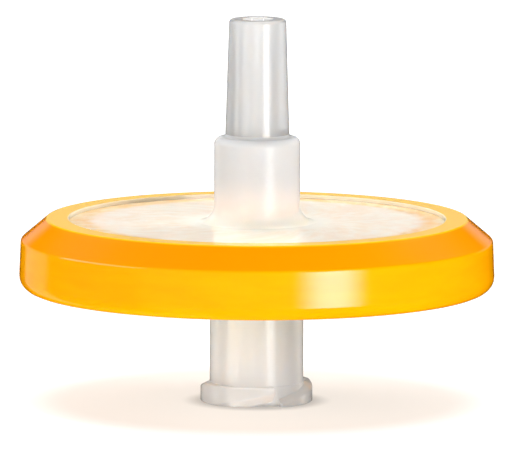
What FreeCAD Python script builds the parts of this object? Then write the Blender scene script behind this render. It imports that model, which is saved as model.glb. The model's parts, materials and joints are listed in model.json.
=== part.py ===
import FreeCAD, Part
import os
import re
import Sketcher

# A 25 mm syringe filter standing on its inlet: two moulded housing halves clamp a membrane disc,
# and a ring is moulded round them. Millimetres, +Z up along the flow axis. The origin is the
# centre of the inlet's mouth, which is the face that the filter stands on.

DIMENSIONS = {
    # from the membrane outwards, in radius where no diameter is named
    "membrane_diameter": 25.0,
    "membrane_thickness": 0.2,
    "membrane_clearance": 0.1,      # round the edge of the disc
    "clamp_width": 1.2,             # of the membrane's edge, held between the halves
    "window_margin": 0.45,          # from the membrane's seat out to the ring's window
    "lip_grip": 1.25,               # of the ring's lips, over and under the rims of the halves
    "ring_wall": 2.25,              # from the rims out to the ring's lower edge, its widest place
    # overmoulded ring
    "ring_thickness": 5.0,
    "ring_lip_thickness": 1.25,
    "ring_wall_draft": 0.14,        # how far the wall leans in between its lower edge and the bevel
    "ring_bevel_width": 1.81,
    "ring_bevel_drop": 1.53,
    "ring_bevel_round": 0.3,        # where the bevel meets the wall
    "ring_foot_round": 1.0,         # round the wall's lower edge
    "ring_crest_round": 0.12,
    # shared by both halves
    "plate_recess": 0.25,           # the plates lie this far below the ring's faces
    "flow_bore_diameter": 2.1,
    "luer_taper": 0.06,             # diameter lost over each millimetre of length
    # outlet half
    "tip_diameter": 3.95,           # at its small end
    "tip_length": 8.2,
    "tip_edge_round": 0.25,
    "tip_root_round": 0.2,
    "outlet_shoulder_width": 0.764,     # from the tip's root out to the barrel
    "outlet_shoulder_round": 0.5,
    "outlet_barrel_length": 5.95,
    "outlet_root_round": 1.2,
    "channel_depth": 0.5,           # outlet channels above the membrane
    "channel_width": 0.9,
    "channel_first_radius": 2.0,
    "rim_channel_land": 0.7,        # left between the last evenly spaced channel and the rim's
    "spoke_channel_width": 0.8,
    "spoke_channel_count": 8,
    # inlet half
    "inlet_length": 7.8,            # from the mouth to the ring's lower face
    "inlet_root_round": 0.8,
    "socket_diameter": 4.3,         # at the mouth
    "socket_depth": 7.6,
    "socket_mouth_bevel": 0.15,
    "socket_wall": 1.1,             # from the mouth's edge out to the barrel
    "inlet_chamber_depth": 0.6,
    "rib_height": 0.4,
    "rib_width": 0.6,
    "rib_count": 12,
    "rib_hub_gap": 1.15,            # from the flow bore out to the ribs
    "rib_end_gap": 0.6,             # from the ribs out to the chamber's wall
    # thread lugs round the mouth of the inlet, with angles from -Y towards +X
    "lug_root_step": 0.05,          # the thread's root stands this far out of the barrel
    "lug_depth": 0.59,
    "lug_height": 1.4,
    "lug_edge_bevel": 0.13,
    "lug_lead": 5.0,
    "lug_count": 2,
    "lug_gap_width": 0.91,          # along the axis, at the crest
    "lug_flank_rise": 0.3,          # of the flank on the plate's side, from crest to root
    "lug_phase_angle": 12.0,        # where a gap's lower edge leaves the mouth
    "lug_tail_angle": 20.0,         # where one lug ends
    "lug_nose_angle": 28.0,         # where the next one begins
    "cutter_margin": 0.3,           # how far a cutter passes beyond what it cuts
}

# Heights and radii that several pieces share, as formulas of the dimensions.
DERIVED = {
    "ring_top": "inlet_length + ring_thickness",
    "ring_bevel_height": "ring_top - ring_bevel_drop",
    "parting_height": "inlet_length + ring_thickness / 2",
    "inlet_plate_face": "inlet_length + plate_recess",
    "outlet_plate_face": "ring_top - plate_recess",
    "lower_lip_face": "inlet_length + ring_lip_thickness",
    "upper_lip_face": "ring_top - ring_lip_thickness",
    "membrane_top": "parting_height + membrane_thickness",
    "channel_top": "membrane_top + channel_depth",
    "chamber_floor": "parting_height - inlet_chamber_depth",
    "shoulder_height": "outlet_plate_face + outlet_barrel_length",
    "tip_top": "shoulder_height + tip_length",
    "membrane_radius": "membrane_diameter / 2",
    "membrane_seat_radius": "membrane_radius + membrane_clearance",
    "chamber_radius": "membrane_radius - clamp_width",
    "window_radius": "membrane_seat_radius + window_margin",
    "rim_radius": "window_radius + lip_grip",
    "ring_radius": "rim_radius + ring_wall",
    "ring_bevel_radius": "ring_radius - ring_wall_draft",
    "ring_top_radius": "ring_bevel_radius - ring_bevel_width",
    "bore_radius": "flow_bore_diameter / 2",
    "tip_radius": "tip_diameter / 2",
    "tip_root_radius": "tip_radius + luer_taper / 2 * tip_length",
    "outlet_barrel_radius": "tip_root_radius + outlet_shoulder_width",
    "rim_channel_radius": "chamber_radius - channel_width",
    "last_channel_radius": "rim_channel_radius - rim_channel_land - channel_width",
    "socket_radius": "socket_diameter / 2",
    "socket_end_radius": "socket_radius - luer_taper / 2 * socket_depth",
    "inlet_barrel_radius": "socket_radius + socket_wall",
    "rib_inner_radius": "bore_radius + rib_hub_gap",
    "rib_outer_radius": "chamber_radius - rib_end_gap",
    "lug_root_radius": "inlet_barrel_radius + lug_root_step",
    "lug_radius": "lug_root_radius + lug_depth",
    "gap_start_height": "0 - lug_gap_width - cutter_margin",
    "tail_start_height": "( lug_tail_angle - lug_phase_angle ) * lug_lead / 360",
    "nose_start_height": "0 - lug_flank_rise - cutter_margin",
    "nose_end_height": "( lug_nose_angle - lug_phase_angle ) * lug_lead / 360",
}

CONCENTRIC_CHANNELS = 5         # evenly spaced, inside the rim's own channel
FRONT_TO_X = 90.0       # degrees between -Y, where lug angles start, and +X
TOLERANCE = 1e-4
NAME = re.compile(r"[a-z_]+")


def linked(formula, on_derived=False):
    """The formula with each named size pointed at its sheet, or left bare on that sheet itself."""

    def place(match):
        word = match.group()
        if word in DIMENSIONS:
            return f"Dimensions.{word}"
        if word in DERIVED and not on_derived:
            return f"Derived.{word}"
        return word

    return NAME.sub(place, formula)


def make_sheets(doc):
    """Two sheets: the driving dimensions as numbers, and the shared sizes worked out from them."""
    driving = doc.addObject("Spreadsheet::Sheet", "Dimensions")
    for row, (name, value) in enumerate(DIMENSIONS.items(), start=1):
        driving.set(f"A{row}", name)
        driving.set(f"B{row}", str(value))
        driving.setAlias(f"B{row}", name)
    derived = doc.addObject("Spreadsheet::Sheet", "Derived")
    for row, name in enumerate(DERIVED, start=1):
        derived.set(f"A{row}", name)
        derived.setAlias(f"B{row}", name)
    doc.recompute()
    for row, formula in enumerate(DERIVED.values(), start=1):
        derived.set(f"B{row}", "=" + linked(formula, on_derived=True))
    doc.recompute()


def value_of(doc, formula):
    return float(doc.Dimensions.evalExpression(linked(formula)))


def origin_feature(body, role):
    return next(f for f in body.Origin.OriginFeatures if f.Role == role)


def sketch_on(body, name, role, turn=None, turn_axis=(0, 1, 0)):
    """A sketch on one of the body's origin planes, turned by a formula in degrees if given."""
    sketch = body.newObject("Sketcher::SketchObject", name)
    sketch.AttachmentSupport = (origin_feature(body, role), [""])
    sketch.MapMode = "FlatFace"
    if turn:
        start = value_of(body.Document, turn)
        rotation = FreeCAD.Rotation(FreeCAD.Vector(*turn_axis), start)
        sketch.AttachmentOffset = FreeCAD.Placement(FreeCAD.Vector(), rotation)
        sketch.setExpression("AttachmentOffset.Rotation.Angle", linked(turn))
    return sketch


def pin_point(sketch, line, point, formulas):
    """Hold one point of a line at the place that two formulas give."""
    axes = (("DistanceX", -2, formulas[0]), ("DistanceY", -1, formulas[1]))
    for kind, axis, formula in axes:
        if formula == "0":
            sketch.addConstraint(Sketcher.Constraint("PointOnObject", line, point, axis))
            continue
        size = value_of(sketch.Document, formula)
        index = sketch.addConstraint(Sketcher.Constraint(kind, -1, 1, line, point, size))
        sketch.setExpression(f"Constraints[{index}]", linked(formula))


def draw_outline(sketch, corners):
    """A closed outline of straight lines, each corner held by its two formulas."""
    doc = sketch.Document
    points = [FreeCAD.Vector(value_of(doc, x), value_of(doc, y), 0) for x, y in corners]
    first = sketch.GeometryCount
    for start, end in zip(points, points[1:] + points[:1]):
        sketch.addGeometry(Part.LineSegment(start, end))
    count = len(corners)
    for i in range(count):
        following = (i + 1) % count
        sketch.addConstraint(
            Sketcher.Constraint("Coincident", first + i, 2, first + following, 1)
        )
    for i, formulas in enumerate(corners):
        pin_point(sketch, first + i, 1, formulas)


def turned(body, kind, name, *outlines):
    """A Revolution or Groove about Z of outlines drawn as (radius, height) on the XZ plane."""
    sketch = sketch_on(body, name + "_section", "XZ_Plane")
    for corners in outlines:
        draw_outline(sketch, corners)
    feature = body.newObject("PartDesign::" + kind, name)
    feature.Profile = sketch
    feature.ReferenceAxis = (sketch, ["V_Axis"])
    feature.Angle = 360
    sketch.Visibility = False
    body.Document.recompute()
    return feature


def polar(body, name, feature, count):
    """Repeat a feature round Z as often as the formula says."""
    pattern = body.newObject("PartDesign::PolarPattern", name)
    pattern.Originals = [feature]
    pattern.Axis = (origin_feature(body, "Z_Axis"), [""])
    pattern.Angle = 360
    pattern.setExpression("Occurrences", linked(count))
    body.Tip = pattern
    body.Document.recompute()
    return pattern


def circle_names(doc, shape, radius, height):
    """Names of the shape's round edges that have this radius and lie at this height."""
    names = []
    for i, edge in enumerate(shape.Edges, start=1):
        if not isinstance(edge.Curve, Part.Circle):
            continue
        off_radius = abs(edge.Curve.Radius - value_of(doc, radius))
        off_height = abs(edge.Curve.Center.z - value_of(doc, height))
        if max(off_radius, off_height) < TOLERANCE:
            names.append(f"Edge{i}")
    return names


def rounded(body, name, size, *circles):
    """Fillet the round edges given as (radius, height) formulas."""
    doc = body.Document
    base = body.Tip
    names = [n for radius, height in circles for n in circle_names(doc, base.Shape, radius, height)]
    if len(names) < len(circles):
        raise RuntimeError(f"{name}: found {len(names)} edges for {len(circles)} places")
    fillet = body.newObject("PartDesign::Fillet", name)
    fillet.Base = (base, names)
    fillet.setExpression("Radius", linked(size))
    doc.recompute()
    return fillet


def ring_rectangle(inner, outer, bottom, top):
    """Corners of a rectangle in (radius, height)."""
    return [(inner, bottom), (outer, bottom), (outer, top), (inner, top)]


def make_body(doc, name):
    body = doc.addObject("PartDesign::Body", name)
    body.Label = name
    return body


def make_overmould_ring(doc):
    """The coloured ring: a bevelled band whose two lips hold the rims of both halves."""
    body = make_body(doc, "overmould_ring")
    turned(
        body, "Revolution", "band",
        [
            ("window_radius", "ring_top"),
            ("ring_top_radius", "ring_top"),
            ("ring_bevel_radius", "ring_bevel_height"),
            ("ring_radius", "inlet_length"),
            ("window_radius", "inlet_length"),
            ("window_radius", "lower_lip_face"),
            ("rim_radius", "lower_lip_face"),
            ("rim_radius", "upper_lip_face"),
            ("window_radius", "upper_lip_face"),
        ],
    )
    rounded(
        body, "bevel_edge", "ring_bevel_round", ("ring_bevel_radius", "ring_bevel_height")
    )
    rounded(body, "foot_edge", "ring_foot_round", ("ring_radius", "inlet_length"))
    rounded(body, "crest_edge", "ring_crest_round", ("ring_top_radius", "ring_top"))
    return body


def make_filter_membrane(doc):
    """The membrane disc, which lies on the inlet half's clamping land."""
    body = make_body(doc, "filter_membrane")
    sketch = sketch_on(body, "disc_outline", "XY_Plane")
    sketch.AttachmentOffset = FreeCAD.Placement(
        FreeCAD.Vector(0, 0, value_of(doc, "parting_height")), FreeCAD.Rotation()
    )
    sketch.setExpression("AttachmentOffset.Base.z", linked("parting_height"))
    radius = value_of(doc, "membrane_radius")
    sketch.addGeometry(Part.Circle(FreeCAD.Vector(), FreeCAD.Vector(0, 0, 1), radius))
    sketch.addConstraint(Sketcher.Constraint("Coincident", 0, 3, -1, 1))
    index = sketch.addConstraint(Sketcher.Constraint("Radius", 0, radius))
    sketch.setExpression(f"Constraints[{index}]", linked("membrane_radius"))
    disc = body.newObject("PartDesign::Pad", "disc")
    disc.Profile = sketch
    disc.setExpression("Length", linked("membrane_thickness"))
    doc.recompute()
    return body


def make_outlet_housing(doc):
    """The upper half: plate, stepped barrel, male Luer tip, flow bore and outlet channels."""
    body = make_body(doc, "outlet_housing")
    turned(
        body, "Revolution", "plate_and_tip",
        [
            ("0", "membrane_top"),
            ("membrane_seat_radius", "membrane_top"),
            ("membrane_seat_radius", "parting_height"),
            ("rim_radius", "parting_height"),
            ("rim_radius", "upper_lip_face"),
            ("window_radius", "upper_lip_face"),
            ("window_radius", "outlet_plate_face"),
            ("outlet_barrel_radius", "outlet_plate_face"),
            ("outlet_barrel_radius", "shoulder_height"),
            ("tip_root_radius", "shoulder_height"),
            ("tip_radius", "tip_top"),
            ("0", "tip_top"),
        ],
    )
    rounded(
        body, "outlet_root", "outlet_root_round", ("outlet_barrel_radius", "outlet_plate_face")
    )
    rounded(
        body, "outlet_shoulder", "outlet_shoulder_round", ("outlet_barrel_radius", "shoulder_height")
    )
    rounded(body, "tip_root", "tip_root_round", ("tip_root_radius", "shoulder_height"))
    rounded(body, "tip_edge", "tip_edge_round", ("tip_radius", "tip_top"))
    turned(
        body, "Groove", "flow_bore",
        ring_rectangle("0", "bore_radius", "parting_height", "tip_top + cutter_margin"),
    )
    channels = [ring_rectangle("rim_channel_radius", "chamber_radius", "parting_height", "channel_top")]
    for i in range(CONCENTRIC_CHANNELS):
        share = f"{i} / {CONCENTRIC_CHANNELS - 1}"
        inner = f"channel_first_radius + ( last_channel_radius - channel_first_radius ) * {share}"
        outer = inner + " + channel_width"
        channels.append(ring_rectangle(inner, outer, "parting_height", "channel_top"))
    turned(body, "Groove", "concentric_channels", *channels)
    outline = sketch_on(body, "spoke_outline", "XY_Plane")
    outline.AttachmentOffset = FreeCAD.Placement(
        FreeCAD.Vector(0, 0, value_of(doc, "membrane_top")), FreeCAD.Rotation()
    )
    outline.setExpression("AttachmentOffset.Base.z", linked("membrane_top"))
    draw_outline(
        outline,
        [
            ("0", "0 - spoke_channel_width / 2"),
            ("chamber_radius - channel_width / 2", "0 - spoke_channel_width / 2"),
            ("chamber_radius - channel_width / 2", "spoke_channel_width / 2"),
            ("0", "spoke_channel_width / 2"),
        ],
    )
    spoke = body.newObject("PartDesign::Pocket", "spoke_channel")
    spoke.Profile = outline
    spoke.setExpression("Length", linked("channel_depth"))
    spoke.Reversed = True       # up into the plate
    doc.recompute()
    polar(body, "spoke_channels", spoke, "spoke_channel_count")
    return body


def make_inlet_housing(doc):
    """The lower half: plate, barrel, female Luer socket, chamber with ribs, and thread lugs."""
    body = make_body(doc, "inlet_housing")
    turned(
        body, "Revolution", "plate_and_barrel",
        [
            ("0", "0"),
            ("lug_radius - lug_edge_bevel", "0"),
            ("lug_radius", "lug_edge_bevel"),
            ("lug_radius", "lug_height - lug_edge_bevel"),
            ("lug_radius - lug_edge_bevel", "lug_height"),
            ("inlet_barrel_radius", "lug_height"),
            ("inlet_barrel_radius", "inlet_plate_face"),
            ("window_radius", "inlet_plate_face"),
            ("window_radius", "lower_lip_face"),
            ("rim_radius", "lower_lip_face"),
            ("rim_radius", "parting_height"),
            ("0", "parting_height"),
        ],
    )
    rounded(body, "inlet_root", "inlet_root_round", ("inlet_barrel_radius", "inlet_plate_face"))
    turned(
        body, "Groove", "luer_socket",
        [
            ("0", "0"),
            ("socket_radius + socket_mouth_bevel", "0"),
            ("socket_radius - luer_taper / 2 * socket_mouth_bevel", "socket_mouth_bevel"),
            ("socket_end_radius", "socket_depth"),
            ("bore_radius", "socket_depth"),
            ("bore_radius", "parting_height"),
            ("0", "parting_height"),
        ],
    )
    turned(
        body, "Groove", "chamber",
        ring_rectangle("0", "chamber_radius", "chamber_floor", "parting_height + cutter_margin"),
    )
    outline = sketch_on(body, "rib_outline", "XY_Plane")
    outline.AttachmentOffset = FreeCAD.Placement(
        FreeCAD.Vector(0, 0, value_of(doc, "chamber_floor")), FreeCAD.Rotation()
    )
    outline.setExpression("AttachmentOffset.Base.z", linked("chamber_floor"))
    draw_outline(
        outline,
        [
            ("rib_inner_radius", "0 - rib_width / 2"),
            ("rib_outer_radius", "0 - rib_width / 2"),
            ("rib_outer_radius", "rib_width / 2"),
            ("rib_inner_radius", "rib_width / 2"),
        ],
    )
    rib = body.newObject("PartDesign::Pad", "rib")
    rib.Profile = outline
    rib.setExpression("Length", linked("rib_height"))
    doc.recompute()
    polar(body, "ribs", rib, "rib_count")
    cut_thread_lugs(body)
    return body


def helical_cut(body, name, start, rise, corners):
    """Cut along the lugs' thread, starting where its edge is at one height and rising by another.

    Heights in the corners are from that edge, which is the lug's crest edge on the plate's side.
    """
    angle = f"lug_phase_angle + ( {start} ) * 360 / lug_lead - {FRONT_TO_X}"
    section = sketch_on(body, name + "_section", "XZ_Plane", turn=angle)
    draw_outline(section, [(radius, f"{start} + {height}") for radius, height in corners])
    cut = body.newObject("PartDesign::SubtractiveHelix", name)
    cut.Profile = section
    cut.ReferenceAxis = (section, ["V_Axis"])
    cut.Mode = 0        # pitch and height
    cut.setExpression("Pitch", linked("lug_lead"))
    cut.setExpression("Height", linked(rise))
    cut.LeftHanded = False
    body.Document.recompute()
    return cut


def cut_thread_lugs(body):
    """Turn the collar at the mouth into lugs: gaps between them, then a blunt tail and nose."""
    outside = "lug_radius + cutter_margin"
    beyond = "( 1 + cutter_margin / lug_depth )"
    gap = helical_cut(
        body, "thread_gap", "gap_start_height", "lug_height + cutter_margin - gap_start_height",
        [
            ("lug_root_radius", "lug_flank_rise"),
            (outside, f"lug_flank_rise * ( 1 - {beyond} )"),
            (outside, f"lug_flank_rise + ( lug_gap_width - lug_flank_rise ) * {beyond}"),
        ],
    )
    polar(body, "thread_gaps", gap, "lug_count")
    tail = helical_cut(
        body, "lug_tail", "tail_start_height",
        "lug_height + cutter_margin - lug_flank_rise - tail_start_height",
        ring_rectangle("lug_root_radius", outside, "lug_flank_rise", "lug_height + cutter_margin"),
    )
    polar(body, "lug_tails", tail, "lug_count")
    nose = helical_cut(
        body, "lug_nose", "nose_start_height", "nose_end_height - nose_start_height",
        ring_rectangle("lug_root_radius", outside, "0 - lug_height", "lug_flank_rise"),
    )
    polar(body, "lug_noses", nose, "lug_count")


def check_document(doc, bodies):
    """Stop before anything is written if an object failed or a shape is unusable."""
    for obj in doc.Objects:
        if any(state in ("Invalid", "Error") for state in obj.State):
            raise RuntimeError(f"{obj.Label} failed: {obj.State}")
    for body in bodies:
        shape = body.Shape
        if shape.isNull() or not shape.isValid() or len(shape.Solids) != 1:
            raise RuntimeError(f"{body.Label} has no single valid solid")


def main():
    doc = FreeCAD.newDocument("SyringeFilter")
    make_sheets(doc)
    bodies = [
        make_inlet_housing(doc),
        make_filter_membrane(doc),
        make_outlet_housing(doc),
        make_overmould_ring(doc),
    ]
    doc.recompute()
    check_document(doc, bodies)
    os.makedirs("parts", exist_ok=True)
    for body in bodies:
        body.Shape.exportStep(f"parts/{body.Label}.step")
        print(f"{body.Label}: {body.Shape.Volume:.2f} cubic mm")


main()
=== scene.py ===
import json
import math

import bmesh
import bpy
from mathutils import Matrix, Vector


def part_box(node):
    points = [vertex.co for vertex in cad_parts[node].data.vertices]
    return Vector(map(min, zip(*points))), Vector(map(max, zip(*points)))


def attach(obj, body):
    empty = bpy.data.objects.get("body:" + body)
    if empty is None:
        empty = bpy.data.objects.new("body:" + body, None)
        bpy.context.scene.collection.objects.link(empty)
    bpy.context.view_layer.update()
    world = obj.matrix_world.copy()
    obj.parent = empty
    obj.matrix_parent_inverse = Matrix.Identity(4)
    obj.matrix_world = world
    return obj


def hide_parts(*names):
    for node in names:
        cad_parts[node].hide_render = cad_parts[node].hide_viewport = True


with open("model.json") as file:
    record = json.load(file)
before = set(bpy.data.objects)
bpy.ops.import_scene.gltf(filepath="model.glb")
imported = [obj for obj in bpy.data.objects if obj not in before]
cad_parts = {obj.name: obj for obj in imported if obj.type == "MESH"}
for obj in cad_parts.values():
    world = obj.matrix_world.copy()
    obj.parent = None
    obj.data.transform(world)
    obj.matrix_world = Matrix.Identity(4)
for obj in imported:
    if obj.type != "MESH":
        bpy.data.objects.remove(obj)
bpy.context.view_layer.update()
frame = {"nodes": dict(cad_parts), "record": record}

# A syringe filter on its inlet: two natural polypropylene housing halves with a membrane between
# them, and an orange-yellow ring moulded round their rims. Sizes below are in millimetres and are
# scaled to metres where a mesh is made. Heights are above the inlet's mouth.

MM = 0.001


def limits(node):
    """(lowest, highest) corner of a CAD node in millimetres."""
    low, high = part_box(node)
    return low / MM, high / MM


def mount_radius(name):
    """Radius in millimetres that the record gives for a mount."""
    mounts = {mount["name"]: mount for mount in frame["record"]["mounts"]}
    return mounts[name]["dims"]["r_mm"]


# Levels and radii that the frame gives.
RING_BOTTOM, RING_TOP = (corner.z for corner in limits("overmould_ring"))
RING_RADIUS = limits("overmould_ring")[1].x
PARTING, TIP_TOP = (corner.z for corner in limits("outlet_housing"))
RIM_RADIUS = limits("outlet_housing")[1].x
MEMBRANE_RADIUS = limits("filter_membrane")[1].x
MEMBRANE_TOP = limits("filter_membrane")[1].z
BORE_RADIUS = mount_radius("outlet_bore")
OUTLET_BARREL_RADIUS = mount_radius("outlet_barrel")

# Shared by the pieces.
LIP_THICKNESS = 1.25
LIP_GRIP = 1.25             # how far the ring's lips reach in over the rims
BEVEL_HEIGHT = 1.53         # of the slope from the ring's wall up to its crest
PLATE_RECESS = 0.25
CLAMP_WIDTH = 1.2           # of the membrane's edge, held between the halves
BOND_GAP = 0.01             # keeps bonded faces from lying in one plane
OVERLAP = 0.1               # of a rib or a cutter past the face that it meets
WINDOW_RADIUS = RIM_RADIUS - LIP_GRIP
CHAMBER_RADIUS = MEMBRANE_RADIUS - CLAMP_WIDTH
UPPER_PLATE = RING_TOP - PLATE_RECESS
LOWER_PLATE = RING_BOTTOM + PLATE_RECESS
BEVEL_CORNER = RING_TOP - BEVEL_HEIGHT

TURN_STEPS = 240            # round each turned piece
ROUND_STEPS = 6             # along each rounded corner
SMOOTH_ANGLE = math.radians(35)
SAME_PLACE = 1e-3           # vertices nearer than this to a place are at it
MERGE_DISTANCE = 1e-4 * MM
SLIVER_LENGTH = 1e-3 * MM


# ---------------------------------------------------------------- modelling helpers


def only(piece):
    """Make the piece the one that operators act on."""
    bpy.ops.object.select_all(action="DESELECT")
    piece.select_set(True)
    bpy.context.view_layer.objects.active = piece


def select_vertices(piece, wanted):
    """In edit mode, select just the vertices whose place, in millimetres, passes the test."""
    bpy.ops.mesh.select_all(action="DESELECT")
    bpy.ops.mesh.select_mode(type="VERT")
    mesh = bmesh.from_edit_mesh(piece.data)
    for vertex in mesh.verts:
        vertex.select = wanted(piece.matrix_world @ vertex.co / MM)
    mesh.select_flush(True)
    bmesh.update_edit_mesh(piece.data)


def tangent_length(before, corner, after, radius):
    """How far from the corner a round of that radius touches the outline."""
    into = Vector(corner) - Vector(before)
    out = Vector(after) - Vector(corner)
    return radius * math.tan(into.angle(out) / 2)


def trace_section(name, outline):
    """Draw a closed section in the XZ plane by extruding one vertex from corner to corner.

    Each corner is (radius, height) or (radius, height, size of its round).
    """
    corners = [Vector((corner[0], 0, corner[1])) for corner in outline]
    bpy.ops.object.select_all(action="DESELECT")
    bpy.ops.mesh.primitive_plane_add(size=MM, location=corners[0] * MM)
    piece = bpy.context.object
    piece.name = name
    bpy.ops.object.mode_set(mode="EDIT")
    bpy.ops.mesh.select_all(action="SELECT")
    bpy.ops.mesh.merge(type="CENTER")
    for here, there in zip(corners, corners[1:]):
        move = {"value": (there - here) * MM}
        bpy.ops.mesh.extrude_vertices_move(TRANSFORM_OT_translate=move)
    ends = (corners[0], corners[-1])
    select_vertices(piece, lambda spot: any((spot - end).length < SAME_PLACE for end in ends))
    bpy.ops.mesh.edge_face_add()
    for i, corner in enumerate(outline):
        if len(corner) == 2:
            continue
        before, after = corners[i - 1], corners[(i + 1) % len(corners)]
        reach = tangent_length(before, corners[i], after, corner[2])
        select_vertices(piece, lambda spot: (spot - corners[i]).length < SAME_PLACE)
        bpy.ops.mesh.bevel(
            offset_type="ABSOLUTE", offset=reach * MM, segments=ROUND_STEPS, affect="VERTICES"
        )
    return piece


def turn(name, outline):
    """A closed solid turned about Z from a section."""
    piece = trace_section(name, outline)
    bpy.ops.mesh.select_all(action="SELECT")
    bpy.ops.mesh.spin(steps=TURN_STEPS, angle=math.tau, center=(0, 0, 0), axis=(0, 0, 1))
    bpy.ops.mesh.select_all(action="SELECT")
    bpy.ops.mesh.remove_doubles(threshold=MERGE_DISTANCE)
    bpy.ops.mesh.normals_make_consistent(inside=False)
    bpy.ops.object.mode_set(mode="OBJECT")
    bpy.ops.object.transform_apply(location=True, rotation=True, scale=True)
    return piece


def apply_modifier(piece, kind, **settings):
    """Add a modifier with those settings, and make its result the piece's own mesh."""
    only(piece)
    modifier = piece.modifiers.new(kind.lower(), kind)
    for name, value in settings.items():
        setattr(modifier, name, value)
    bpy.ops.object.modifier_apply(modifier=modifier.name)


def combine(piece, operation, tool):
    """Join a tool to the piece, or cut it away, and remove the tool."""
    apply_modifier(piece, "BOOLEAN", operation=operation, object=tool, solver="EXACT")
    bpy.data.objects.remove(tool)


def remove_slivers(piece):
    """Collapse the needle faces that a cut or a join leaves along its seam."""
    only(piece)
    bpy.ops.object.mode_set(mode="EDIT")
    bpy.ops.mesh.select_all(action="SELECT")
    bpy.ops.mesh.dissolve_degenerate(threshold=SLIVER_LENGTH)
    bpy.ops.object.mode_set(mode="OBJECT")


def finish_surface(piece):
    """Smooth shading with crisp edges, where broad faces keep their own normals."""
    remove_slivers(piece)
    bpy.ops.object.shade_smooth_by_angle(angle=SMOOTH_ANGLE)
    apply_modifier(piece, "WEIGHTED_NORMAL", keep_sharp=True, weight=100)


def place(piece, node, material):
    """Give a finished piece its material and let it stand for its CAD node."""
    piece.data.materials.clear()
    piece.data.materials.append(material)
    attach(piece, "root")
    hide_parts(node)


def cover_part(piece, material, wanted):
    """Give the faces whose middle, in millimetres, passes the test their own finish."""
    only(piece)
    piece.data.materials.append(material)
    bpy.ops.object.mode_set(mode="EDIT")
    bpy.ops.mesh.select_mode(type="FACE")
    bpy.ops.mesh.select_all(action="DESELECT")
    mesh = bmesh.from_edit_mesh(piece.data)
    for face in mesh.faces:
        face.select = wanted(face.calc_center_median() / MM)
    bmesh.update_edit_mesh(piece.data)
    piece.active_material_index = len(piece.data.materials) - 1
    bpy.ops.object.material_slot_assign()
    bpy.ops.object.mode_set(mode="OBJECT")


def copies_round(piece, count):
    """Copy the piece round Z until there are that many, and join them into one object."""
    group = [piece]
    for i in range(1, count):
        only(piece)
        bpy.ops.object.duplicate()
        copy = bpy.context.object
        bpy.ops.object.mode_set(mode="EDIT")
        bpy.ops.mesh.select_all(action="SELECT")
        bpy.ops.transform.rotate(
            value=-math.tau * i / count, orient_axis="Z", center_override=(0, 0, 0)
        )
        bpy.ops.object.mode_set(mode="OBJECT")
        group.append(copy)
    only(piece)
    for copy in group:
        copy.select_set(True)
    bpy.ops.object.join()
    return piece


def bar(name, start, end, width, bottom, top):
    """A straight bar along +X from one radius to another, to be used as a rib or a cutter."""
    bpy.ops.object.select_all(action="DESELECT")
    bpy.ops.mesh.primitive_cube_add(size=MM, location=(0, 0, 0))
    piece = bpy.context.object
    piece.name = name
    piece.scale = (end - start, width, top - bottom)
    piece.location = Vector((start + end, 0, bottom + top)) / 2 * MM
    bpy.ops.object.transform_apply(location=True, rotation=True, scale=True)
    return piece


# ---------------------------------------------------------------- materials


MIX_SOCKETS = {"FLOAT": (0, 2, 3, 0), "RGBA": (0, 6, 7, 2)}    # share, first, second, result
WHITE = (1, 1, 1, 1)


def add_node(tree, kind, **settings):
    """Add a node; settings named like its properties go there, others to its inputs."""
    made = tree.nodes.new(kind)
    for name, value in settings.items():
        if hasattr(made, name):
            setattr(made, name, value)
        else:
            made.inputs[name.replace("_", " ")].default_value = value
    return made


def feed(tree, socket, value):
    """Link another node's socket to this one, or set this one to a plain value."""
    if isinstance(value, bpy.types.NodeSocket):
        tree.links.new(value, socket)
    else:
        socket.default_value = value


def ramp_between(tree, value, start, end, low, high):
    """A smooth step of a value: low up to the start, and high from the end on."""
    made = add_node(tree, "ShaderNodeMapRange", interpolation_type="SMOOTHSTEP")
    levels = {"Value": value, "From Min": start, "From Max": end, "To Min": low, "To Max": high}
    for name, level in levels.items():
        feed(tree, made.inputs[name], level)
    return made.outputs["Result"]


def calculate(tree, operation, first, *others):
    """Take numbers or sockets into one sum, product or the like, one after the other."""
    for other in others:
        made = add_node(tree, "ShaderNodeMath", operation=operation)
        feed(tree, made.inputs[0], first)
        feed(tree, made.inputs[1], other)
        first = made.outputs[0]
    return first


def distance_from(tree, value, middle):
    """How far a value is from the middle one, on either side of it."""
    offset = calculate(tree, "SUBTRACT", value, middle)
    made = add_node(tree, "ShaderNodeMath", operation="ABSOLUTE")
    tree.links.new(offset, made.inputs[0])
    return made.outputs[0]


def mix(tree, kind, share, first, second):
    """Mix two numbers ("FLOAT") or two colours ("RGBA") by a share."""
    made = add_node(tree, "ShaderNodeMix", data_type=kind)
    share_at, first_at, second_at, result_at = MIX_SOCKETS[kind]
    feed(tree, made.inputs[share_at], share)
    feed(tree, made.inputs[first_at], first)
    feed(tree, made.inputs[second_at], second)
    return made.outputs[result_at]


def pick(tree, switch, otherwise, chosen):
    """One number where the switch is 0 and another where it is 1."""
    return mix(tree, "FLOAT", switch, otherwise, chosen)


def blend_colours(tree, share, first, second):
    """The first colour where the share is 0 and the second where it is 1."""
    return mix(tree, "RGBA", share, first, second)


def new_group(name, inputs, outputs):
    """An empty shader node group. Inputs and outputs are (name, kind of value) pairs."""
    tree = bpy.data.node_groups.new(name, "ShaderNodeTree")
    for side, sockets in (("INPUT", inputs), ("OUTPUT", outputs)):
        for label, kind in sockets:
            tree.interface.new_socket(label, in_out=side, socket_type="NodeSocket" + kind)
    given = add_node(tree, "NodeGroupInput").outputs
    result = add_node(tree, "NodeGroupOutput").inputs
    return tree, given, result


def set_plain(shader, **values):
    """Set the node's own sockets, named with underscores for spaces."""
    for name, value in values.items():
        shader.inputs[name.replace("_", " ")].default_value = value


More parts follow.
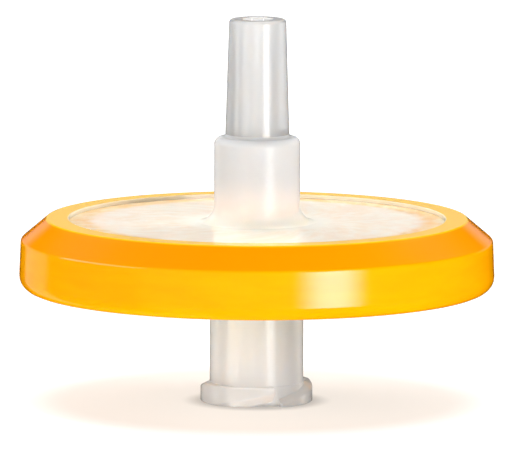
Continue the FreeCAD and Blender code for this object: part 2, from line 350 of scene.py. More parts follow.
def use_group(tree, group, **values):
    """Place a group in a material with its own values, and give its outputs."""
    made = tree.nodes.new("ShaderNodeGroup")
    made.node_tree = group
    set_plain(made, **values)
    return made.outputs


def new_material(name):
    """A material with its tree and its Principled shader."""
    material = bpy.data.materials.new(name)
    material.use_nodes = True
    tree = material.node_tree
    return material, tree, tree.nodes["Principled BSDF"]


def raise_surface(tree, shader, height, strength, depth):
    """Bump from a height between 0 and 1, where depth is in millimetres."""
    bump = add_node(tree, "ShaderNodeBump", Strength=strength, Distance=depth * MM)
    tree.links.new(height, bump.inputs["Height"])
    tree.links.new(bump.outputs["Normal"], shader.inputs["Normal"])


def object_place(tree):
    """Socket of the surface's place in the piece's own coordinates."""
    return add_node(tree, "ShaderNodeTexCoord").outputs["Object"]


def noise(tree, place_on, scale, detail, roughness):
    """Fractal noise between 0 and 1. The scale and the detail may be sockets."""
    made = add_node(tree, "ShaderNodeTexNoise", Roughness=roughness)
    tree.links.new(place_on, made.inputs["Vector"])
    feed(tree, made.inputs["Scale"], scale)
    feed(tree, made.inputs["Detail"], detail)
    return made.outputs["Fac"]


def cylinder_coordinates(tree):
    """Sockets of the distance from Z, the height and the direction from Z as a vector."""
    split = add_node(tree, "ShaderNodeSeparateXYZ")
    tree.links.new(object_place(tree), split.inputs[0])
    flat = add_node(tree, "ShaderNodeCombineXYZ")
    tree.links.new(split.outputs["X"], flat.inputs["X"])
    tree.links.new(split.outputs["Y"], flat.inputs["Y"])
    radius = add_node(tree, "ShaderNodeVectorMath", operation="LENGTH")
    tree.links.new(flat.outputs[0], radius.inputs[0])
    outwards = add_node(tree, "ShaderNodeVectorMath", operation="NORMALIZE")
    tree.links.new(flat.outputs[0], outwards.inputs[0])
    return radius.outputs["Value"], split.outputs["Z"], outwards.outputs["Vector"]


def make_round_streaks():
    """Streaks that run round Z: flow marks and the trace of the mould's turning."""
    tree, given, result = new_group(
        "round_streaks",
        [("Along", "Float"), ("Across", "Float"), ("Detail", "Float")],
        [("Streak", "Float")],
    )
    radius, height, outwards = cylinder_coordinates(tree)
    round_z = add_node(tree, "ShaderNodeVectorMath", operation="SCALE")
    tree.links.new(outwards, round_z.inputs[0])
    tree.links.new(given["Along"], round_z.inputs["Scale"])
    across = add_node(tree, "ShaderNodeCombineXYZ")
    tree.links.new(calculate(tree, "MULTIPLY", radius, given["Across"]), across.inputs["X"])
    tree.links.new(calculate(tree, "MULTIPLY", height, given["Across"]), across.inputs["Z"])
    spot = add_node(tree, "ShaderNodeVectorMath", operation="ADD")
    tree.links.new(round_z.outputs[0], spot.inputs[0])
    tree.links.new(across.outputs[0], spot.inputs[1])
    streak = noise(tree, spot.outputs[0], scale=1.0, detail=given["Detail"], roughness=0.6)
    tree.links.new(ramp_between(tree, streak, 0.3, 0.7, 0.0, 1.0), result["Streak"])
    return tree


def make_moulded_skin():
    """The skin of a moulding: slow waves, a fine grain and a gloss that changes with them."""
    tree, given, result = new_group(
        "moulded_skin",
        [("Wave Scale", "Float"), ("Grain Scale", "Float"), ("Grain Share", "Float"),
         ("Middle Roughness", "Float"), ("Roughness Spread", "Float")],
        [("Roughness", "Float"), ("Height", "Float")],
    )
    place_on = object_place(tree)
    waves = noise(tree, place_on, scale=given["Wave Scale"], detail=2.0, roughness=0.4)
    grain = noise(tree, place_on, scale=given["Grain Scale"], detail=4.0, roughness=0.6)
    tree.links.new(pick(tree, given["Grain Share"], waves, grain), result["Height"])
    both = calculate(tree, "ADD", waves, grain)
    centred = calculate(tree, "SUBTRACT", both, 1.0)
    spread = calculate(tree, "MULTIPLY", centred, given["Roughness Spread"])
    roughness = calculate(tree, "ADD", spread, given["Middle Roughness"])
    tree.links.new(roughness, result["Roughness"])
    return tree


def make_painted_ring_glow():
    """Painted glow of the ring's orange light on the natural plastic: near the ring, and most in
    the plates' edges.
    """
    tree, given, result = new_group(
        "painted_ring_glow",
        [("Own Colour", "Color"), ("Near Colour", "Color"), ("Edge Colour", "Color"),
         ("Reach", "Float")],
        [("Colour", "Color")],
    )
    radius, height = cylinder_coordinates(tree)[:2]
    off_ring = distance_from(tree, height, (RING_BOTTOM + RING_TOP) / 2 * MM)
    # painted glow near the ring's height, and in the plates' edges
    near = ramp_between(tree, off_ring, 2.0 * MM, given["Reach"], 1.0, 0.0)
    edge = ramp_between(tree, radius, 11.0 * MM, 12.0 * MM, 0.0, 1.0)
    colour = blend_colours(tree, near, given["Own Colour"], given["Near Colour"])
    colour = blend_colours(tree, edge, colour, given["Edge Colour"])
    tree.links.new(colour, result["Colour"])
    return tree


AMBER = (0.95, 0.355, 0.0, 1)
AMBER_STREAK = (0.99, 0.385, 0.0, 1)    # the flow marks in it
# painted shade: the bevel darker and deeper orange than the wall, where less light falls
BEVEL_PAINTED_SHADE = (0.97, 0.295, 0.0, 1)
# painted light: the ring's top lighter and yellower, where light falls from above
CREST_PAINTED_LIGHT = (1.0, 0.56, 0.01, 1)
# painted glow: the ring's inner wall lighter, as light comes through it
WINDOW_PAINTED_GLOW = (1.0, 0.9, 0.66, 1)      # the ring's inner wall, thin and lit through
# painted glow: the ring's light in the plates' edges
PLATE_EDGE_PAINTED_GLOW = (0.95, 0.73, 0.47, 1)
FILM_WHITE = (0.97, 0.965, 0.95, 1)
PORE_GREY = (0.9, 0.88, 0.85, 1)
PLASTIC_IOR = 1.49


def make_ring_material(groups):
    """Glossy orange-yellow plastic with faint flow marks, with painted shade on its bevel, painted
    light on its crest and a painted glow on its inner wall.
    """
    material, tree, shader = new_material("orange_moulding")
    set_plain(shader, IOR=PLASTIC_IOR, Specular_Tint=(1.0, 0.7, 0.95, 1))
    streak = use_group(tree, groups["streaks"], Along=3.0, Across=900.0, Detail=3.0)["Streak"]
    radius, height = cylinder_coordinates(tree)[:2]
    corner, top, wall = BEVEL_CORNER * MM, RING_TOP * MM, WINDOW_RADIUS * MM
    bevel = ramp_between(tree, height, corner - 0.05 * MM, corner + 0.1 * MM, 0.0, 1.0)
    crest = ramp_between(tree, height, top - 0.12 * MM, top - 0.02 * MM, 0.0, 1.0)
    window = ramp_between(tree, radius, wall, wall + 0.15 * MM, 1.0, 0.0)
    colour = blend_colours(tree, streak, AMBER, AMBER_STREAK)
    # painted shade on the bevel
    colour = blend_colours(tree, bevel, colour, BEVEL_PAINTED_SHADE)
    # painted light on the crest
    colour = blend_colours(tree, crest, colour, CREST_PAINTED_LIGHT)
    # painted glow on the ring's inner wall
    colour = blend_colours(tree, window, colour, WINDOW_PAINTED_GLOW)
    tree.links.new(colour, shader.inputs["Base Color"])
    skin = use_group(
        tree, groups["skin"], Wave_Scale=180.0, Grain_Scale=2500.0, Grain_Share=0.15,
        Middle_Roughness=0.09, Roughness_Spread=0.06,
    )
    tree.links.new(skin["Roughness"], shader.inputs["Roughness"])
    raise_surface(tree, shader, skin["Height"], strength=0.3, depth=0.02)
    return material


def make_housing_material(groups, name, own, near, reach, clarity, scatter, gloss, mottle):
    """Natural polypropylene in its own colour, with a painted glow of the ring's light near the
    ring within a reach.

    Clarity is how much light goes straight through, scatter is how deep the rest goes, and mottle
    is how strongly streaks show on the plate. The reach and the scatter are in millimetres.
    """
    material, tree, shader = new_material(name)
    set_plain(
        shader, IOR=PLASTIC_IOR, Specular_IOR_Level=gloss, Transmission_Weight=clarity,
        Subsurface_Weight=1.0, Subsurface_Radius=(1.0, 0.9, 0.8),
        Subsurface_Scale=scatter * MM, Subsurface_Anisotropy=0.6,
    )
    # painted glow of the ring's light, near the ring and in the plates' edges
    warm = use_group(
        tree, groups["ring_glow"], Own_Colour=own, Near_Colour=near,
        Edge_Colour=PLATE_EDGE_PAINTED_GLOW, Reach=reach * MM,
    )["Colour"]
    streak = use_group(tree, groups["streaks"], Along=9.0, Across=900.0, Detail=4.0)["Streak"]
    radius = cylinder_coordinates(tree)[0]
    on_plate = ramp_between(tree, radius, 4.5 * MM, 6 * MM, 0.0, mottle)
    deeper = blend_colours(tree, 1.0, warm, warm)
    deeper.node.blend_type = "MULTIPLY"
    colour = blend_colours(tree, calculate(tree, "MULTIPLY", streak, on_plate), warm, deeper)
    tree.links.new(colour, shader.inputs["Base Color"])
    skin = use_group(
        tree, groups["skin"], Wave_Scale=250.0, Grain_Scale=1500.0, Grain_Share=0.0,
        Middle_Roughness=0.14, Roughness_Spread=0.1,
    )
    tree.links.new(skin["Roughness"], shader.inputs["Roughness"])
    raise_surface(tree, shader, skin["Height"], strength=0.2, depth=0.01)
    return material


def make_cloudy_material(groups):
    """The inlet half and the tip, which light comes through."""
    # near is the colour of the painted glow near the ring
    return make_housing_material(
        groups, "cloudy_polypropylene", own=(0.855, 0.857, 0.86, 1), near=(0.97, 0.9, 0.79, 1),
        reach=10, clarity=0.6, scatter=5, gloss=0.5, mottle=0.3,
    )


def make_milky_material(groups):
    """The outlet half's barrel and plate, which are nearly closed to light."""
    # near is the colour of the painted glow near the ring
    return make_housing_material(
        groups, "milky_polypropylene", own=(0.66, 0.663, 0.665, 1), near=(0.985, 0.87, 0.77, 1),
        reach=6, clarity=0.12, scatter=0.8, gloss=0.15, mottle=1.0,
    )


def make_membrane_material(groups):
    """Soft white film with fine pores."""
    material, tree, shader = new_material("membrane_film")
    pores = add_node(tree, "ShaderNodeTexVoronoi", Scale=9000.0)
    tree.links.new(object_place(tree), pores.inputs["Vector"])
    depth = ramp_between(tree, pores.outputs["Distance"], 0.05, 0.35, 0.0, 1.0)
    tree.links.new(blend_colours(tree, depth, PORE_GREY, FILM_WHITE), shader.inputs["Base Color"])
    skin = use_group(
        tree, groups["skin"], Wave_Scale=200.0, Grain_Scale=6000.0, Grain_Share=0.6,
        Middle_Roughness=0.7, Roughness_Spread=0.15,
    )
    tree.links.new(skin["Roughness"], shader.inputs["Roughness"])
    raise_surface(tree, shader, depth, strength=0.4, depth=0.01)
    return material


# ---------------------------------------------------------------- ring

CREST_INSET = 1.91          # of the bevel's upper corner from the ring's widest radius
BEVEL_INSET = 0.1           # of its lower corner
FOOT_FLARE = 0.04           # of the wall's line at the foot, which the foot's round takes off
CREST_ROUND = 0.12
BEVEL_ROUND = 0.3
FOOT_ROUND = 1.0
WINDOW_ROUND = 0.08


def make_ring():
    """The moulded ring: a bevelled band whose lips reach in over and under the rims."""
    ring = turn(
        "overmould_ring_finish",
        [
            (WINDOW_RADIUS, RING_TOP, WINDOW_ROUND),
            (RING_RADIUS - CREST_INSET, RING_TOP, CREST_ROUND),
            (RING_RADIUS - BEVEL_INSET, BEVEL_CORNER, BEVEL_ROUND),
            (RING_RADIUS + FOOT_FLARE, RING_BOTTOM, FOOT_ROUND),
            (WINDOW_RADIUS, RING_BOTTOM, WINDOW_ROUND),
            (WINDOW_RADIUS, RING_BOTTOM + LIP_THICKNESS),
            (RIM_RADIUS, RING_BOTTOM + LIP_THICKNESS),
            (RIM_RADIUS, RING_TOP - LIP_THICKNESS),
            (WINDOW_RADIUS, RING_TOP - LIP_THICKNESS),
        ],
    )
    finish_surface(ring)
    return ring


# ---------------------------------------------------------------- outlet half

TIP_RADIUS = 1.975
TIP_ROOT_RADIUS = 2.221
OUTLET_BARREL_LENGTH = 5.95
SHOULDER = UPPER_PLATE + OUTLET_BARREL_LENGTH
PLATE_FILLET = 1.2          # at the foot of the barrel
SHOULDER_ROUND = 0.5
TIP_FILLET = 0.2
TIP_FINISH_START = 0.25     # above the shoulder, where the cloudy plastic takes over
TIP_ROUND = 0.25
BORE_ROUND = 0.08
SEAT = MEMBRANE_TOP + BOND_GAP
MEMBRANE_CLEARANCE = 0.1    # round the edge of the disc
CHANNEL_DEPTH = 0.5
CHANNEL_TOP = MEMBRANE_TOP + CHANNEL_DEPTH
CHANNEL_WIDTH = 0.9
CHANNEL_PITCH = 1.7
FIRST_CHANNEL_RADIUS = 2.0
EVEN_CHANNELS = 5           # at that pitch, besides one along the chamber's wall
SPOKE_WIDTH = 0.8
SPOKES = 8


def channel_corners(inner):
    """The four corners of one concentric channel in the outlet half's underside."""
    outer = inner + CHANNEL_WIDTH
    return [(inner, SEAT), (inner, CHANNEL_TOP), (outer, CHANNEL_TOP), (outer, SEAT)]


def make_spokes():
    """Cutters of the channels that run out from the bore and join the concentric ones."""
    end = CHAMBER_RADIUS - CHANNEL_WIDTH / 2
    spoke = bar("spoke_cutter", 0, end, SPOKE_WIDTH, MEMBRANE_TOP - OVERLAP, CHANNEL_TOP)
    return copies_round(spoke, SPOKES)


def make_outlet():
    """The upper half: channelled plate, stepped barrel and tapered tip round one bore."""
    rim = RIM_RADIUS - BOND_GAP
    window = WINDOW_RADIUS - BOND_GAP
    lip = RING_TOP - LIP_THICKNESS - BOND_GAP
    seat_radius = MEMBRANE_RADIUS + MEMBRANE_CLEARANCE
    channels = []
    for i in range(EVEN_CHANNELS):
        channels += channel_corners(FIRST_CHANNEL_RADIUS + i * CHANNEL_PITCH)
    channels += channel_corners(CHAMBER_RADIUS - CHANNEL_WIDTH)
    outlet = turn(
        "outlet_housing_finish",
        [
            (BORE_RADIUS, SEAT),
            *channels,
            (seat_radius, SEAT),
            (seat_radius, PARTING + BOND_GAP),
            (rim, PARTING + BOND_GAP),
            (rim, lip),
            (window, lip),
            (window, UPPER_PLATE),
            (OUTLET_BARREL_RADIUS, UPPER_PLATE, PLATE_FILLET),
            (OUTLET_BARREL_RADIUS, SHOULDER, SHOULDER_ROUND),
            (TIP_ROOT_RADIUS, SHOULDER, TIP_FILLET),
            (TIP_RADIUS, TIP_TOP, TIP_ROUND),
            (BORE_RADIUS, TIP_TOP, BORE_ROUND),
        ],
    )
    combine(outlet, "DIFFERENCE", make_spokes())
    finish_surface(outlet)
    return outlet


# ---------------------------------------------------------------- inlet half

INLET_BARREL_RADIUS = 3.25
INLET_FILLET = 0.8          # where the barrel meets the plate
SOCKET_DEPTH = 7.6
SOCKET_MOUTH_RADIUS = 2.15
SOCKET_TAPER = 0.03         # of its radius along its depth
SOCKET_END_ROUND = 0.1
MOUTH_CHAMFER = 0.15
MOUTH_ROUND = 0.03
CHAMBER_DEPTH = 0.6
RIBS = 12
RIB_WIDTH = 0.6
RIB_HEIGHT = 0.4
RIB_INNER_GAP = 1.15        # from the bore's wall
RIB_OUTER_GAP = 0.6         # from the chamber's wall

LUG_ROOT_RADIUS = 3.3
LUG_RADIUS = 3.89
LUG_HEIGHT = 1.4
LUG_FOOT_ROUND = 0.05
LUGS = 2
THREAD_LEAD = 5.0
THREAD_START = 12.0         # angles are in degrees from -Y towards +X
LUG_NOSE = 28.0
LUG_TAIL = 200.0
GAP_WIDTH = 0.91            # along the axis, at the crest
FLANK_RISE = 0.3
LUG_FOOT = 0.004            # keeps the lugs' feet out of the mouth's plane
LUG_EDGE_ROUND = 0.1
LUG_EDGE_STEPS = 3
LUG_SEGMENT_ANGLE = 2.5
LUG_EMBED = 0.1             # how far a lug's root reaches into the barrel


def thread_height(angle):
    """Height of the gap's lower edge, at the crest."""
    return (angle - THREAD_START) * THREAD_LEAD / 360


def thread_angle(height):
    """Where round Z that edge is at a height."""
    return THREAD_START + height * 360 / THREAD_LEAD


def lug_outlines():
    """(angle, height) corners of a lug's crest and, under them, of its wider root."""
    next_gap = THREAD_LEAD / LUGS
    crest = [
        (LUG_NOSE, LUG_FOOT),
        (LUG_NOSE, thread_height(LUG_NOSE)),
        (thread_angle(LUG_HEIGHT), LUG_HEIGHT),
        (LUG_TAIL, LUG_HEIGHT),
        (LUG_TAIL, thread_height(LUG_TAIL) - next_gap + GAP_WIDTH),
        (thread_angle(next_gap - GAP_WIDTH + LUG_FOOT), LUG_FOOT),
    ]
    root = [
        crest[0],
        (LUG_NOSE, thread_height(LUG_NOSE) + FLANK_RISE),
        (thread_angle(LUG_HEIGHT - FLANK_RISE), LUG_HEIGHT),
        crest[3],
        (LUG_TAIL, thread_height(LUG_TAIL) - next_gap + FLANK_RISE),
        (thread_angle(next_gap - FLANK_RISE + LUG_FOOT), LUG_FOOT),
    ]
    return crest, root


def make_flat_lug(arc):
    """A lug laid out along X with its crest in front, where arc is millimetres in a degree."""
    crest, root = lug_outlines()
    depth = LUG_RADIUS - LUG_ROOT_RADIUS
    lug = trace_section("thread_lugs", [(angle * arc, height) for angle, height in crest])
    bpy.ops.mesh.select_all(action="SELECT")
    bpy.ops.mesh.edge_face_add()
    bpy.ops.mesh.extrude_region_move(TRANSFORM_OT_translate={"value": (0, depth * MM, 0)})
    for (angle, height), (root_angle, root_height) in zip(crest, root):
        corner = Vector((angle * arc, depth, height))
        select_vertices(lug, lambda spot: (spot - corner).length < SAME_PLACE)
        shift = Vector(((root_angle - angle) * arc, 0, root_height - height))
        bpy.ops.transform.translate(value=shift * MM)
    select_vertices(lug, lambda spot: spot.y > depth / 2)
    bpy.ops.mesh.extrude_region_move(TRANSFORM_OT_translate={"value": (0, LUG_EMBED * MM, 0)})
    bpy.ops.mesh.select_all(action="SELECT")
    bpy.ops.mesh.normals_make_consistent(inside=False)
    select_vertices(lug, lambda spot: spot.y < depth / 2)
    bpy.ops.mesh.bevel(offset=LUG_EDGE_ROUND * MM, segments=LUG_EDGE_STEPS, affect="EDGES")
    for i in range(1, int((LUG_TAIL - LUG_NOSE) / LUG_SEGMENT_ANGLE)):
        across = (LUG_NOSE + i * LUG_SEGMENT_ANGLE) * arc * MM
        bpy.ops.mesh.select_all(action="SELECT")
        bpy.ops.mesh.bisect(plane_co=(across, 0, 0), plane_no=(1, 0, 0))
    bpy.ops.object.mode_set(mode="OBJECT")
    bpy.ops.object.transform_apply(location=True, rotation=True, scale=True)
    return lug


def make_lugs():
    """Two lugs of a double-start thread, each modelled flat and then bent round Z."""
    lug = make_flat_lug(arc=math.radians(1) * LUG_RADIUS)
    turned = math.radians(LUG_TAIL - LUG_NOSE)
    apply_modifier(lug, "SIMPLE_DEFORM", deform_method="BEND", deform_axis="Z", angle=turned)
    lug.location.y = -LUG_RADIUS * MM
    bpy.ops.object.transform_apply(location=True, rotation=True, scale=True)
    return copies_round(lug, LUGS)


def make_ribs(floor):
    """Ribs that hold the membrane off the chamber's floor."""
    start, end = BORE_RADIUS + RIB_INNER_GAP, CHAMBER_RADIUS - RIB_OUTER_GAP
    rib = bar("chamber_rib", start, end, RIB_WIDTH, floor - OVERLAP, floor + RIB_HEIGHT)
    return copies_round(rib, RIBS)


def make_inlet():
    """The lower half: barrel with a tapered socket, lugs at its mouth, plate and chamber."""
    rim = RIM_RADIUS - BOND_GAP
    window = WINDOW_RADIUS - BOND_GAP
    lip = RING_BOTTOM + LIP_THICKNESS + BOND_GAP
    floor = PARTING - CHAMBER_DEPTH
    socket_end = SOCKET_MOUTH_RADIUS - SOCKET_TAPER * SOCKET_DEPTH
    chamfer_end = SOCKET_MOUTH_RADIUS - SOCKET_TAPER * MOUTH_CHAMFER
    inlet = turn(
        "inlet_housing_finish",
        [
            (SOCKET_MOUTH_RADIUS + MOUTH_CHAMFER, 0, MOUTH_ROUND),
            (LUG_ROOT_RADIUS, 0, LUG_FOOT_ROUND),
            (LUG_ROOT_RADIUS, LUG_HEIGHT, MOUTH_ROUND),
            (INLET_BARREL_RADIUS, LUG_HEIGHT),
            (INLET_BARREL_RADIUS, LOWER_PLATE, INLET_FILLET),
            (window, LOWER_PLATE),
            (window, lip),
            (rim, lip),
            (rim, PARTING),
            (CHAMBER_RADIUS, PARTING),
            (CHAMBER_RADIUS, floor),
            (BORE_RADIUS, floor),
            (BORE_RADIUS, SOCKET_DEPTH),
            (socket_end, SOCKET_DEPTH, SOCKET_END_ROUND),
            (chamfer_end, MOUTH_CHAMFER, MOUTH_ROUND),
        ],
    )
    combine(inlet, "UNION", make_ribs(floor))
    combine(inlet, "UNION", make_lugs())
    finish_surface(inlet)
    return inlet


# ---------------------------------------------------------------- membrane


def finish_membrane(material):
    """The disc keeps its own mesh and takes the film's material."""
    slots = frame["nodes"]["filter_membrane"].data.materials
    slots.clear()
    slots.append(material)


# ---------------------------------------------------------------- stage

ROOM_BRIGHTNESS = 1.2       # behind the filter, where 1 is white
FLOOR_RADIUS = 260
FLOOR_SIDES = 128

# In the room, x, y and z are the parts of a direction: to the right, to the back and up.


def soft_room(tree, x, y, z):
    """The room as it lights matt surfaces: bright low down, to the left and high up behind."""
    sky = ramp_between(tree, z, 0.0, 0.6, 1.36, 0.1)
    to_left = ramp_between(tree, x, -0.9, 0.2, 0.85, 0.0)
    to_right = ramp_between(tree, x, 0.2, 0.9, 1.0, 0.5)
    low_behind = ramp_between(tree, y, 0.2, 0.8, 1.0, 0.2)
    back = ramp_between(tree, y, 0.3, 0.6, 0.0, 8.3)
    raised = ramp_between(tree, z, 0.35, 0.6, 0.0, 1.0)
    room = calculate(tree, "ADD", sky, to_left)
    room = calculate(tree, "MULTIPLY", room, to_right, low_behind)
    return calculate(tree, "ADD", room, calculate(tree, "MULTIPLY", back, raised))


def mirrored_room(tree, x, y, z):
    """The room as gloss mirrors it: only a low white wall behind, and a card to its left."""
    behind = ramp_between(tree, y, 0.68, 0.85, 0.0, 0.36)
    low = ramp_between(tree, z, 0.16, 0.3, 1.0, 0.0)
    over_table = ramp_between(tree, z, 0.03, 0.1, 0.0, 1.0)
    wall = calculate(tree, "MULTIPLY", behind, low, over_table)
    card_side = ramp_between(tree, x, -0.5, -0.42, 0.4, 0.0)
    card_behind = ramp_between(tree, y, 0.5, 0.6, 0.0, 1.0)
    card_low = ramp_between(tree, z, 0.1, 0.3, 1.0, 0.0)
    card = calculate(tree, "MULTIPLY", card_side, card_behind, card_low)
    return calculate(tree, "MAXIMUM", wall, card)


def room_seen_through(tree, x, z, over_table):
    """The room as it shows through the plastic: white, but dark to the right."""
    beside = ramp_between(tree, x, 0.0, 0.4, 0.86, 0.1)
    above = ramp_between(tree, z, 0.15, 0.5, 0.0, 2.0)
    low_left = ramp_between(tree, x, -0.4, 0.15, 0.5, 0.0)
    low_left = calculate(tree, "MULTIPLY", low_left, over_table)
    return calculate(tree, "ADD", beside, above, low_left)


def make_world():
    """A bright room that differs for matt surfaces, for gloss and for what shows through."""
    world = bpy.data.worlds.new("white_room")
    bpy.context.scene.world = world
    world.use_nodes = True
    world.cycles.sampling_method = "NONE"
    tree = world.node_tree
    tree.nodes.clear()
    out = add_node(tree, "ShaderNodeOutputWorld")
    room = add_node(tree, "ShaderNodeBackground")
    place_on = add_node(tree, "ShaderNodeTexCoord")
    split = add_node(tree, "ShaderNodeSeparateXYZ")
    tree.links.new(place_on.outputs["Generated"], split.inputs[0])
    x, y, z = split.outputs
    path = add_node(tree, "ShaderNodeLightPath").outputs
    over_table = ramp_between(tree, z, -0.16, -0.06, 0.0, 1.0)
    warm = calculate(tree, "MULTIPLY", over_table, path["Is Transmission Ray"])
    tree.links.new(blend_colours(tree, warm, WHITE, (1, 0.95, 0.86, 1)), room.inputs["Color"])
    mirrored, through = mirrored_room(tree, x, y, z), room_seen_through(tree, x, z, over_table)
    level = pick(tree, path["Is Glossy Ray"], soft_room(tree, x, y, z), mirrored)
    level = pick(tree, path["Is Transmission Ray"], level, through)
    level = pick(tree, path["Is Camera Ray"], level, ROOM_BRIGHTNESS)
    tree.links.new(level, room.inputs["Strength"])
    tree.links.new(room.outputs[0], out.inputs["Surface"])


def floor_as_seen(tree, x, y, radius, outwards):
    """The floor's own light for the eye: a painted shadow pool under the filter, with a painted
    contact shadow darkest at its foot and painted shade to its left.
    """
    # painted shade: the pool, lighter in front than behind, the contact shadow at the foot and the
    # darker left side
    shadow_pool = ramp_between(tree, y, -14 * MM, 10 * MM, 0.8, 0.7)
    contact_shadow = ramp_between(tree, radius, 3.6 * MM, 5.4 * MM, 0.55, 1.0)
    lit_side = ramp_between(tree, x, -13 * MM, 0, 0.9, 1.0)
    shadow_pool = calculate(tree, "MULTIPLY", shadow_pool, contact_shadow, lit_side)
    return pick(tree, outwards, shadow_pool, 1.0)


def floor_on_filter(tree, x, radius):
    """The floor's own light for the filter: it comes from round the foot, mostly on the left."""
    near = ramp_between(tree, radius, 14 * MM, 20 * MM, 1.0, 0.0)
    to_left = ramp_between(tree, x, -9 * MM, 9 * MM, 3.2, 0.5)
    off_foot = ramp_between(tree, radius, 4 * MM, 9 * MM, 0.1, 1.0)
    near = calculate(tree, "MULTIPLY", near, to_left, off_foot)
    return calculate(tree, "ADD", near, 0.45)


def make_floor_material():
    """White paper with a painted soft warm shadow pool round the foot, clear when it is seen from
    underneath.
    """
    material = bpy.data.materials.new("floor_white")
    material.use_nodes = True
    material.cycles.emission_sampling = "NONE"
    tree = material.node_tree
    tree.nodes.clear()
    place_on = object_place(tree)
    split = add_node(tree, "ShaderNodeSeparateXYZ")
    tree.links.new(place_on, split.inputs[0])
    x, y = split.outputs[:2]
    from_middle = add_node(tree, "ShaderNodeVectorMath", operation="LENGTH")
    tree.links.new(place_on, from_middle.inputs[0])
    radius = from_middle.outputs["Value"]
    seen = add_node(tree, "ShaderNodeLightPath").outputs["Is Camera Ray"]
    paper = add_node(tree, "ShaderNodeBsdfDiffuse")
    shade = blend_colours(tree, seen, (0.6, 0.6, 0.6, 1), (0.2, 0.2, 0.2, 1))
    tree.links.new(shade, paper.inputs["Color"])
    glow = add_node(tree, "ShaderNodeEmission")
    outwards = ramp_between(tree, radius, 13 * MM, 19 * MM, 0.0, 1.0)
    # painted warm light from the ring's colour in the pool round the foot
    tint = blend_colours(tree, outwards, (1, 0.93, 0.855, 1), WHITE)
    tree.links.new(tint, glow.inputs["Color"])
    for_eye = floor_as_seen(tree, x, y, radius, outwards)
    level = pick(tree, seen, floor_on_filter(tree, x, radius), for_eye)
    tree.links.new(level, glow.inputs["Strength"])
    both = add_node(tree, "ShaderNodeAddShader")
    tree.links.new(paper.outputs[0], both.inputs[0])
    tree.links.new(glow.outputs[0], both.inputs[1])
    side = add_node(tree, "ShaderNodeMixShader")
    underneath = add_node(tree, "ShaderNodeNewGeometry").outputs["Backfacing"]
    tree.links.new(underneath, side.inputs["Fac"])
    tree.links.new(both.outputs[0], side.inputs[1])
    tree.links.new(add_node(tree, "ShaderNodeBsdfTransparent").outputs[0], side.inputs[2])
    out = add_node(tree, "ShaderNodeOutputMaterial")
    tree.links.new(side.outputs[0], out.inputs["Surface"])
    return material


def make_floor():
    """A round table top that the filter's own plastic neither mirrors nor shows through."""
    bpy.ops.object.select_all(action="DESELECT")
    bpy.ops.mesh.primitive_circle_add(
        vertices=FLOOR_SIDES, radius=FLOOR_RADIUS * MM, fill_type="NGON"
    )
    floor = bpy.context.object
    floor.name = "floor"
    floor.visible_glossy = False
    floor.visible_transmission = False
    floor.data.materials.append(make_floor_material())


def look_at(thing, target):
    """Turn a light or a camera towards a place."""
    direction = Vector(target) - thing.location
    thing.rotation_euler = direction.to_track_quat("-Z", "Y").to_euler()


def on_circle(azimuth, distance, height):
    """A place round the filter. Azimuth 0 is in front of it and grows towards +X, in degrees."""
    angle = math.radians(azimuth)
    return Vector((math.sin(angle) * distance, -math.cos(angle) * distance, height)) * MM


def fade_sides(light, fade):
    """Let the light's face fade towards its left and right edges."""
    light.use_nodes = True
    tree = light.node_tree
    across = add_node(tree, "ShaderNodeSeparateXYZ")
    on_face = add_node(tree, "ShaderNodeNewGeometry")
    tree.links.new(on_face.outputs["Parametric"], across.inputs[0])
    from_middle = distance_from(tree, across.outputs["X"], 0.5)
    level = ramp_between(tree, from_middle, 0.5 - fade, 0.5, 1.0, 0.0)
    tree.links.new(level, tree.nodes["Emission"].inputs["Strength"])


def softbox(name, place_at, target_height, width, height, brightness):
    """An area light whose face has the given brightness, where 1 is the white of the backdrop."""
    data = bpy.data.lights.new(name, "AREA")
    data.shape = "RECTANGLE"
    data.size = width * MM
    data.size_y = height * MM
    data.energy = brightness * math.pi * data.size * data.size_y
    light = bpy.data.objects.new(name, data)
    bpy.context.scene.collection.objects.link(light)
    light.location = place_at
    look_at(light, (0, 0, target_height * MM))
    light.visible_camera = False
    return light


def make_key_light():
    """The light in front on the right, whose image is the ring's highlight."""
    key = softbox(
        "key_softbox", on_circle(azimuth=34.5, distance=120, height=12),
        target_height=12, width=82, height=80, brightness=11.5,
    )
    fade_sides(key.data, 0.45)


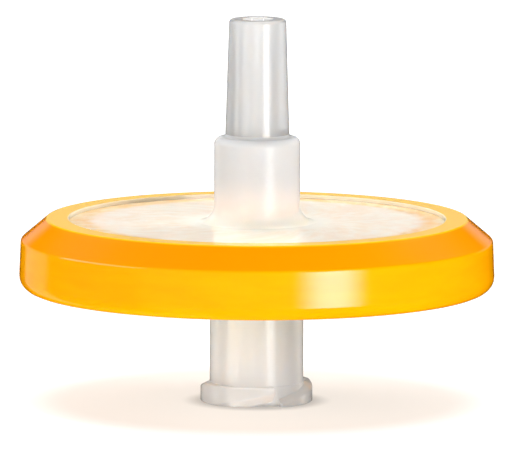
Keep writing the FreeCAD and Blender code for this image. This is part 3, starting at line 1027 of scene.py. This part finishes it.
def make_left_light():
    """A long light on the left that only shines in glossy and clear surfaces."""
    left = softbox(
        "left_softbox", on_circle(azimuth=-85, distance=300, height=120),
        target_height=12, width=300, height=120, brightness=3.0,
    )
    left.visible_diffuse = False


def make_foot_light():
    """A narrow spot on the inlet barrel's front, between the ring and the lugs."""
    foot = softbox(
        "barrel_foot_spot", on_circle(azimuth=0, distance=34, height=65),
        target_height=3.5, width=10, height=10, brightness=0.3,
    )
    foot.data.spread = math.radians(8)
    foot.visible_glossy = False
    foot.visible_transmission = False


CAMERA_TARGET = (-0.035, 0, 12.3)
CAMERA_DISTANCE = 750
CAMERA_ELEVATION = math.radians(7.55)
CAMERA_ROLL = math.radians(0.2)
SENSOR_WIDTH = 36
LENS_LENGTH = 758


def make_camera():
    """A long lens in front, looking slightly down."""
    data = bpy.data.cameras.new("camera")
    data.sensor_width = SENSOR_WIDTH
    data.lens = LENS_LENGTH
    data.clip_start = 0.01
    data.clip_end = 10
    camera = bpy.data.objects.new("camera", data)
    bpy.context.scene.collection.objects.link(camera)
    target = Vector(CAMERA_TARGET) * MM
    back_and_up = Vector((0, -math.cos(CAMERA_ELEVATION), math.sin(CAMERA_ELEVATION)))
    camera.location = target + back_and_up * (CAMERA_DISTANCE * MM)
    look_at(camera, target)
    camera.rotation_euler.rotate_axis("Z", CAMERA_ROLL)
    bpy.context.scene.camera = camera


def make_stage():
    """The room, the table top, the lights and the camera."""
    make_world()
    make_floor()
    make_key_light()
    make_left_light()
    make_foot_light()
    make_camera()
    bpy.context.scene.view_settings.view_transform = "Standard"


def make_filter():
    """The three modelled pieces and the membrane, each with its material."""
    groups = {
        "streaks": make_round_streaks(),
        "skin": make_moulded_skin(),
        "ring_glow": make_painted_ring_glow(),
    }
    cloudy, milky = make_cloudy_material(groups), make_milky_material(groups)
    outlet, inlet = make_outlet(), make_inlet()
    place(make_ring(), "overmould_ring", make_ring_material(groups))
    place(outlet, "outlet_housing", milky)
    cover_part(outlet, cloudy, lambda spot: spot.z > SHOULDER + TIP_FINISH_START)
    place(inlet, "inlet_housing", cloudy)
    finish_membrane(make_membrane_material(groups))


make_stage()
make_filter()
